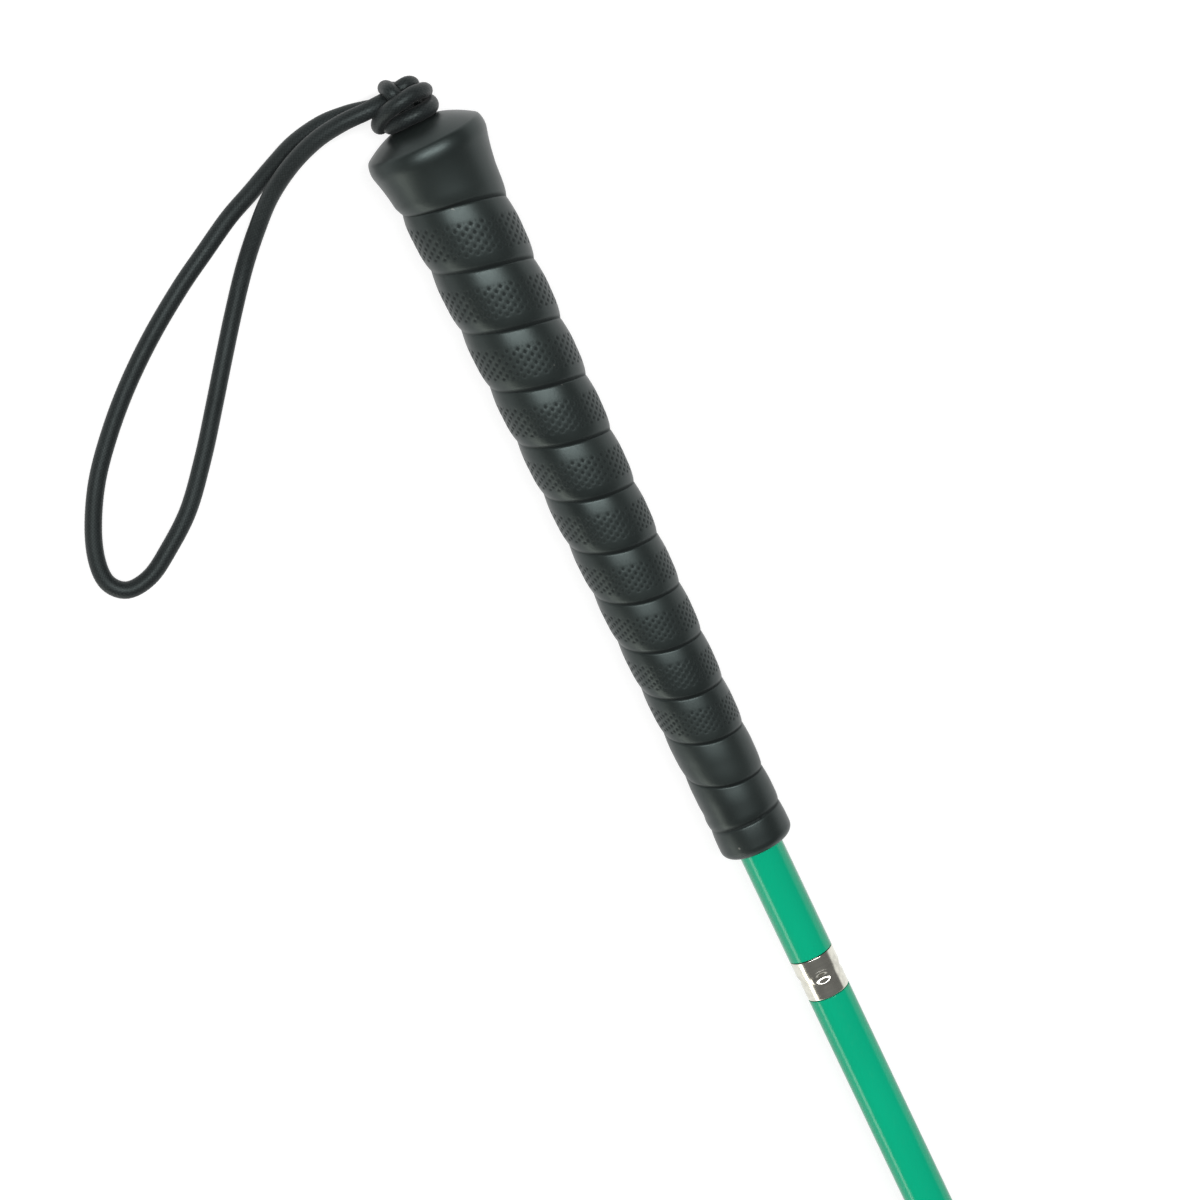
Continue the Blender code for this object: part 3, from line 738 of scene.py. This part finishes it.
def rubber_sockets(finish):
    """Black rubber: a soft gloss that is uneven, with painted shade that makes it nearly black
    in the pits and creases, a fine grain and a few specks of dust."""
    place = finish.place()
    painted_hollow_shade = finish.node("ShaderNodeAttribute", {"attribute_name": "painted_hollow_shade"}, output="Fac")
    grain = finish.noise(place, 1800.0, 3.0)
    cloud = finish.noise(place, 45.0, 3.0)
    dust = finish.range(finish.noise(place, 330.0, 1.0), 0.79, 0.83)
    tint = finish.range(cloud, 0.3, 0.7)
    rubber = finish.blend(dust, finish.blend(tint, *RUBBER_COLOURS), RUBBER_DUST_COLOUR)
    # painted shade: the pits and creases are darkened as if in shadow
    painted_shade_share = finish.range(painted_hollow_shade, 0.0, 0.5)
    return {
        "Base Color": finish.blend(painted_shade_share, rubber, RUBBER_PAINTED_SHADE_COLOUR),
        "Roughness": finish.range(cloud + grain * 0.3, 0.4, 0.9, 0.35, 0.44) + painted_shade_share * 0.35,
        "Specular IOR Level": 0.5,
        "Specular Tint": RUBBER_GLOSS_TINT,
        "Normal": finish.bump(grain, 0.02 * MM, 0.5),
    }


# the second result marks the painted shade in the pits and creases
sleeve, painted_hollow_shade = sleeve_grid()
outline = sleeve_rings()
rings = round_axis(outline[:, :1], outline[:, 1:], around_axis(GRIP_COLUMNS))
grip = add_piece(
    "grip_sleeve",
    [sleeve, rings],
    finish_of("grip_rubber", rubber_sockets),
    "upper_section",
    marks={"painted_hollow_shade": np.concatenate([painted_hollow_shade.ravel(), np.zeros(rings[..., 0].size)])},
    turned=True,
    sharp=60,
)
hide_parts("grip")


# A flanged plug of black nylon closes the top of the upper tube under the cap. The cord runs
# through its hole, which keeps it off the tube's edge.
SLIDING_RADIUS = 5.0 * MM
UPPER_TUBE_RADIUS = 6.35 * MM
PLUG_FLANGE = 2 * MM
PLUG_EDGE = 0.6 * MM
HOLE_EDGE = 0.2 * MM
INNER_EDGE = 0.1 * MM
TURNED_COLUMNS = 96
EASING_ROWS = 5
BLACK_NYLON_COLOURS = ((0.010, 0.011, 0.011), (0.02, 0.021, 0.021))
BLACK_NYLON_ROUGHNESS = 0.4


def span(node):
    """Where a CAD node starts and ends along the cane, from the crown."""
    low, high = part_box(node)
    return low.x - CROWN, high.x - CROWN


def eased(corners):
    """An outline of (position, radius, easing) corners, each rounded off by a curve that starts
    its easing before the corner and ends it after: P + (A - P)(1 - t)² + (B - P)t²."""
    corners = np.array(corners, float)
    t = np.linspace(0, 1, EASING_ROWS)[:, None]
    rows = []
    for before, corner, after in zip(
        np.roll(corners, 1, axis=0), corners, np.roll(corners, -1, axis=0)
    ):
        place, easing = corner[:2], corner[2]
        if easing == 0:
            rows.append(place[None])
            continue
        back, ahead = before[:2] - place, after[:2] - place
        back = back * easing / np.linalg.norm(back)
        ahead = ahead * easing / np.linalg.norm(ahead)
        rows.append(place + back * (1 - t) ** 2 + ahead * t**2)
    return np.concatenate(rows)


def add_turned(node, corners, finish, body, closed=True, sharp=35):
    """A turned piece that stands for a CAD node. Its corners go round its outline: start, then
    its outside, its end and back through its bore."""
    outline = eased(corners)
    if closed:
        outline = np.vstack([outline, outline[:1]])
    grid = round_axis(outline[:, :1], outline[:, 1:], around_axis(TURNED_COLUMNS))
    piece = add_piece(f"{node}_turned", [grid], finish, body, turned=True, sharp=sharp)
    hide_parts(node)


def nylon_sockets(colours, rough):
    """The sockets of turned nylon: faint rings from the tool across a slightly cloudy colour."""

    def sockets(finish):
        place = finish.place()
        cloud = finish.noise(place, 120.0, 2.0)
        rings = finish.noise(finish.scaled(place, (1.0, 0.02, 0.02)), 2200.0, 2.0)
        return {
            "Base Color": finish.blend(finish.range(cloud, 0.3, 0.7), *colours),
            "Roughness": finish.range(cloud, 0.3, 0.7, rough, rough + 0.1),
            "Normal": finish.bump(rings, 0.02 * MM, 0.5),
        }

    return sockets


start, end = span("top_plug")
add_turned(
    "top_plug",
    [
        (start, CORD_HOLE, HOLE_EDGE),
        (start, UPPER_TUBE_RADIUS, PLUG_EDGE),
        (start + PLUG_FLANGE, UPPER_TUBE_RADIUS, INNER_EDGE),
        (start + PLUG_FLANGE, SLIDING_RADIUS, 0),
        (end, SLIDING_RADIUS, PLUG_EDGE),
        (end, CORD_HOLE, HOLE_EDGE),
    ],
    finish_of("black_nylon", nylon_sockets(BLACK_NYLON_COLOURS, BLACK_NYLON_ROUGHNESS)),
    "upper_section",
)


# The four tubes are drawn aluminium with a glossy green coat, baked on. The upper one is a
# little thicker than the three below it, and all of them end square.
TUBE_BORE = 5.3 * MM
TUBE_EDGE = 0.07 * MM
LOWER_TUBE_RADIUS = 6.15 * MM
TUBE_BODIES = ("upper_section", "section_2", "section_3", "section_4")
COAT_COLOURS = ((0.0, 0.37, 0.195), (0.0, 0.41, 0.218))


def coat_sockets(finish):
    """Green enamel: clear gloss, a faint drift in its colour and the coat's orange peel."""
    place = finish.place()
    drift = finish.noise(finish.scaled(place, (0.2, 1.0, 1.0)), 60.0, 2.0)
    peel = finish.noise(place, 520.0, 2.0)
    wear = finish.noise(place, 900.0, 4.0, 0.6)
    return {
        "Base Color": finish.blend(finish.range(drift, 0.3, 0.7), *COAT_COLOURS),
        "Roughness": finish.range(wear, 0.45, 0.75, 0.14, 0.24),
        "Specular IOR Level": 0.3,
        "Normal": finish.bump(peel, 0.006 * MM, 0.5),
    }


coat_finish = finish_of("green_coat", coat_sockets)
for number, body in enumerate(TUBE_BODIES, 1):
    node = f"tube_{number}"
    start, end = span(node)
    outside = UPPER_TUBE_RADIUS if number == 1 else LOWER_TUBE_RADIUS
    add_turned(
        node,
        [
            (start, TUBE_BORE, 0),
            (start, outside, TUBE_EDGE),
            (end, outside, TUBE_EDGE),
            (end, TUBE_BORE, 0),
        ],
        coat_finish,
        body,
    )


# A spigot of bare aluminium tube joins each tube to the next. It is fixed in the upper one, and
# its tapered nose guides the lower one on.
SPIGOT_WALL = 0.8 * MM
SPIGOT_NOSE = 1.2 * MM  # its length
SPIGOT_TAPER = 0.3 * MM
SPIGOT_ROUNDINGS = (0.6 * MM, 0.3 * MM)  # at the nose's root and its end
BARE_COLOURS = ((0.62, 0.63, 0.64), (0.76, 0.77, 0.78))


def bare_sockets(finish):
    """Drawn aluminium: fine lines along the tube and a soft shine that they break up."""
    place = finish.place()
    lines = finish.noise(finish.scaled(place, (0.02, 1.0, 1.0)), 2400.0, 2.0)
    rub = finish.noise(finish.scaled(place, (0.3, 1.0, 1.0)), 260.0, 3.0)
    tint = finish.range(rub, 0.3, 0.7)
    return {
        "Base Color": finish.blend(tint, *BARE_COLOURS),
        "Metallic": 1.0,
        "Roughness": finish.range(lines + rub * 0.4, 0.4, 1.0, 0.24, 0.42),
        "Normal": finish.bump(lines, 0.01 * MM, 0.5),
    }


bare_finish = finish_of("bare_aluminium", bare_sockets)
for number, body in enumerate(TUBE_BODIES[:3], 1):
    node = f"spigot_{number}"
    start, end = span(node)
    bore = SLIDING_RADIUS - SPIGOT_WALL
    nose = SLIDING_RADIUS - SPIGOT_TAPER
    add_turned(
        node,
        [
            (start, bore, 0),
            (start, SLIDING_RADIUS, TUBE_EDGE),
            (span(f"collar_{number}")[1], SLIDING_RADIUS, 0),
            (end - SPIGOT_NOSE, nose, SPIGOT_ROUNDINGS[0]),
            (end, nose - SPIGOT_WALL / 2, SPIGOT_ROUNDINGS[1]),
            (end, bore, INNER_EDGE),
        ],
        bare_finish,
        body,
    )


# A collar of bright rolled metal covers each joint, flush with both tubes, so that the first is
# drawn in a little at its middle. Four dents stake it to the spigot inside.
COLLAR_EDGE = 0.06 * MM
COLLAR_STEP = 1.2 * MM  # half the length over which it is drawn in
COLLAR_EASING = 0.8 * MM  # and how softly
COLLAR_ROWS = 90
COLLAR_COLUMNS = 256
DENT_COUNT = 4
DENT_HALF = (1.6 * MM, 2.5 * MM)  # along the cane and round it
DENT_DEPTH = 0.85 * MM
DENT_RIM = 0.07 * MM  # its height, and below where it is and how wide, as shares of the dent
DENT_RIM_REACH = 1.15
DENT_RIM_WIDTH = 0.2
COLLAR_COLOURS = ((0.70, 0.69, 0.61), (0.57, 0.56, 0.50))


def collar_grid(start, end, upper_radius):
    """The collar's outside is its outline, less the dents, each a bowl that falls as
    (1 - d²)^1.5 over an oval, with a slight rim pushed up round it."""
    middle = (start + end) / 2
    middle_radius = (upper_radius + LOWER_TUBE_RADIUS) / 2
    outside = eased(
        [
            (start, TUBE_BORE, 0),
            (start, upper_radius, COLLAR_EDGE),
            (middle - COLLAR_STEP, upper_radius, COLLAR_EASING),
            (middle + COLLAR_STEP, LOWER_TUBE_RADIUS, COLLAR_EASING),
            (end, LOWER_TUBE_RADIUS, COLLAR_EDGE),
            (end, TUBE_BORE, 0),
        ]
    )[1:-1]
    lengths = lengths_along(outside)
    fine = np.linspace(0, lengths[-1], COLLAR_ROWS)
    outside = np.stack([np.interp(fine, lengths, outside[:, axis]) for axis in (0, 1)], -1)
    angle = around_axis(COLLAR_COLUMNS)
    sector = 2 * math.pi / DENT_COUNT
    aside = (angle + sector / 2) % sector - sector / 2
    along = (outside[:, :1] - middle) / DENT_HALF[0]
    reach = np.hypot(along, aside * middle_radius / DENT_HALF[1])
    dent = DENT_DEPTH * np.clip(1 - reach**2, 0, 1) ** 1.5
    pushed_up = DENT_RIM * np.exp(-(((reach - DENT_RIM_REACH) / DENT_RIM_WIDTH) ** 2))
    wall = round_axis(outside[:, :1], outside[:, 1:] - dent + pushed_up, angle)
    bore = round_axis(np.array([[start], [end]]), np.full((2, 1), TUBE_BORE), angle)
    return np.concatenate([bore[:1], wall, bore[1:], bore[:1]])


def collar_sockets(finish):
    """Rolled metal: bright, with faint rings round it and small handling marks."""
    place = finish.place()
    rings = finish.noise(finish.scaled(place, (1.0, 0.03, 0.03)), 1500.0, 3.0)
    marks = finish.noise(place, 420.0, 4.0, 0.6)
    tint = finish.range(marks, 0.35, 0.7)
    return {
        "Base Color": finish.blend(tint, *COLLAR_COLOURS),
        "Metallic": 1.0,
        "Roughness": finish.range(marks + rings * 0.5, 0.5, 1.0, 0.13, 0.24),
        "Normal": finish.bump(rings, 0.012 * MM, 0.5),
    }


collar_finish = finish_of("polished_collar", collar_sockets)
for number, body in enumerate(TUBE_BODIES[:3], 1):
    node = f"collar_{number}"
    start, end = span(node)
    outside = UPPER_TUBE_RADIUS if number == 1 else LOWER_TUBE_RADIUS
    collar = add_piece(
        f"{node}_rolled",
        [collar_grid(start, end, outside)],
        collar_finish,
        body,
        turned=True,
        sharp=35,
    )
    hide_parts(node)


# One elastic cord runs through all the tubes and pulls them together. Each length of it here
# shows in the opening when its joint is pulled apart, and is braided more coarsely.
INNER_STRANDS = 10
INNER_PITCH = 1.6 * MM
STRAND_ROWS = 4  # of the mesh
ELASTIC_BODIES = ("upper_section", "section_2", "section_3", "tip_end")

for number, body in enumerate(ELASTIC_BODIES, 1):
    node = f"elastic_{number}"
    ends = [(place / MM, 0.0, 0.0) for place in span(node)]
    low, high = from_crown(ends, AXIS_HEIGHT)
    rows = round((high - low)[0] / (INNER_PITCH / STRAND_ROWS))
    path = low + (high - low) * np.linspace(0, 1, rows)[:, None]
    grid, chart = braided_cord(path, INNER_STRANDS, INNER_PITCH)
    elastic = add_piece(f"{node}_cord", [grid], cord_finish, body, chart)
    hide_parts(node)


# A metal crimp holds a wire eye on the cord's lower end, and the tip's wire hook goes through
# the eye, so that a worn tip can be unhooked and changed.
HOOK_WIRE = 0.8 * MM  # half its thickness
HOOK_BEND = 2.0 * MM
HOOK_STEM = 9 * MM  # how far it stands out of the tip
HOOK_END = 2.4 * MM  # straight after the bend
EYE_WIRE = 0.6 * MM  # half its thickness
EYE_RADIUS = 2.6 * MM
EYE_OPENING = 40  # degrees, where the ring springs from its shank
BEND_STEPS = 12
RING_STEPS = 24
WIRE_ROWS = 160
WIRE_COLUMNS = 24
CRIMP_RADIUS = 3.55 * MM
CRIMP_SQUEEZE = 0.35 * MM
CRIMP_BANDS = (3.0 * MM, 6.6 * MM)  # where the tool has squeezed it
CRIMP_RAMP = 0.6 * MM  # at each side of a band, which is twice as wide
CRIMP_EASINGS = (0.2 * MM, 0.3 * MM)  # at the top and the foot of a ramp
TIP_HOLE_DEPTH = 12 * MM
GAP = 0.3 * MM  # of play between things that aren't fixed together
STEEL_COLOURS = ((0.6, 0.6, 0.59), (0.34, 0.33, 0.31))


def steel_sockets(finish):
    """Bright drawn steel with a little soiling."""
    soil = finish.noise(finish.place(), 380.0, 4.0, 0.6)
    tint = finish.range(soil, 0.4, 0.75)
    return {
        "Base Color": finish.blend(tint, *STEEL_COLOURS),
        "Metallic": 1.0,
        "Roughness": finish.range(soil, 0.35, 0.75, 0.22, 0.45),
        "Normal": finish.bump(soil, 0.01 * MM, 0.5),
    }


steel_finish = finish_of("steel_wire", steel_sockets)
tip_start, tip_end = span("tip")
bend = tip_start - HOOK_STEM + HOOK_BEND
bend_turn = np.linspace(0, math.pi, BEND_STEPS + 1)
hook = [
    (tip_start + TIP_HOLE_DEPTH - GAP, 0.0, 0.0),
    (tip_start + TIP_HOLE_DEPTH / 3, 0.0, 0.0),
    (tip_start - HOOK_WIRE, 0.0, 0.0),
    (tip_start - HOOK_STEM / 2, HOOK_BEND, 0.0),
    *zip(bend - HOOK_BEND * np.sin(bend_turn), HOOK_BEND * np.cos(bend_turn), bend_turn * 0),
    (bend + HOOK_END, -HOOK_BEND, 0.0),
]
ring_centre = bend - HOOK_BEND + HOOK_WIRE + GAP + EYE_WIRE - EYE_RADIUS
opening = math.radians(EYE_OPENING)
ring_turn = np.linspace(opening / 2, 2 * math.pi - opening / 2, RING_STEPS + 1)
eye = [
    (span("cord_eye")[0], 0.0, 0.0),
    (ring_centre - EYE_RADIUS - EYE_WIRE, 0.0, 0.0),
    *zip(
        ring_centre - EYE_RADIUS * np.cos(ring_turn), ring_turn * 0, EYE_RADIUS * np.sin(ring_turn)
    ),
]
for node, points, radius in (("tip_hook", hook, HOOK_WIRE), ("cord_eye", eye, EYE_WIRE)):
    path = curve_through(np.array(points) + (CROWN, 0.0, AXIS_HEIGHT), WIRE_ROWS)
    grid = tube_along(path, radius, WIRE_COLUMNS)
    wire = add_piece(f"{node}_wire", [grid], steel_finish, "tip_end")
    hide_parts(node)

start, end = span("cord_crimp")
crest, foot = CRIMP_EASINGS
squeezed = []
for band in CRIMP_BANDS:
    squeezed += [
        (start + band - CRIMP_RAMP, CRIMP_RADIUS, crest),
        (start + band, CRIMP_RADIUS - CRIMP_SQUEEZE, foot),
        (start + band + 2 * CRIMP_RAMP, CRIMP_RADIUS - CRIMP_SQUEEZE, foot),
        (start + band + 3 * CRIMP_RAMP, CRIMP_RADIUS, crest),
    ]
add_turned(
    "cord_crimp",
    [
        (start, CORD_HOLE, INNER_EDGE),
        (start, CRIMP_RADIUS, HOLE_EDGE),
        *squeezed,
        (end, CRIMP_RADIUS, HOLE_EDGE),
        (end, CORD_HOLE, INNER_EDGE),
    ],
    steel_finish,
    "tip_end",
)


# The tip is turned from white nylon. Its shank plugs into the last tube, and its rounded end
# is what slides and taps on the ground.
TIP_SHANK = 20 * MM
TIP_NECK = 10 * MM
TIP_HEAD_RADIUS = 6.9 * MM
TIP_SHOULDER = 1.2 * MM
TIP_SHOULDER_EASINGS = (0.3 * MM, 0.5 * MM)
TIP_FACE_RADIUS = 3.6 * MM
TIP_FACE_EASINGS = (0.4 * MM, 0.8 * MM)
TIP_ROUNDING = 2.2 * MM
TIP_NARROWING = 9 * MM
TIP_NARROWING_EASING = 2.0 * MM
WHITE_NYLON_COLOURS = ((0.80, 0.80, 0.76), (0.74, 0.73, 0.68))
WHITE_NYLON_ROUGHNESS = 0.34

tube_end = tip_start + TIP_SHANK
hole = HOOK_WIRE + GAP
add_turned(
    "tip",
    [
        (tip_start + TIP_HOLE_DEPTH, 0.0, 0),
        (tip_start + TIP_HOLE_DEPTH, hole, 0),
        (tip_start, hole, HOLE_EDGE),
        (tip_start, SLIDING_RADIUS, PLUG_EDGE),
        (tube_end + GAP, SLIDING_RADIUS, 0),
        (tube_end + GAP, LOWER_TUBE_RADIUS, TUBE_EDGE),
        (tube_end + TIP_NECK, LOWER_TUBE_RADIUS, TIP_SHOULDER_EASINGS[0]),
        (tube_end + TIP_NECK + TIP_SHOULDER, TIP_HEAD_RADIUS, TIP_SHOULDER_EASINGS[1]),
        (tip_end - TIP_NARROWING, TIP_HEAD_RADIUS, TIP_NARROWING_EASING),
        (tip_end - TIP_ROUNDING / 2, TIP_FACE_RADIUS + TIP_ROUNDING, TIP_FACE_EASINGS[0]),
        (tip_end, TIP_FACE_RADIUS, TIP_FACE_EASINGS[1]),
        (tip_end, 0.0, 0),
    ],
    finish_of("white_nylon", nylon_sockets(WHITE_NYLON_COLOURS, WHITE_NYLON_ROUGHNESS)),
    "tip_end",
    closed=False,
    sharp=45,
)
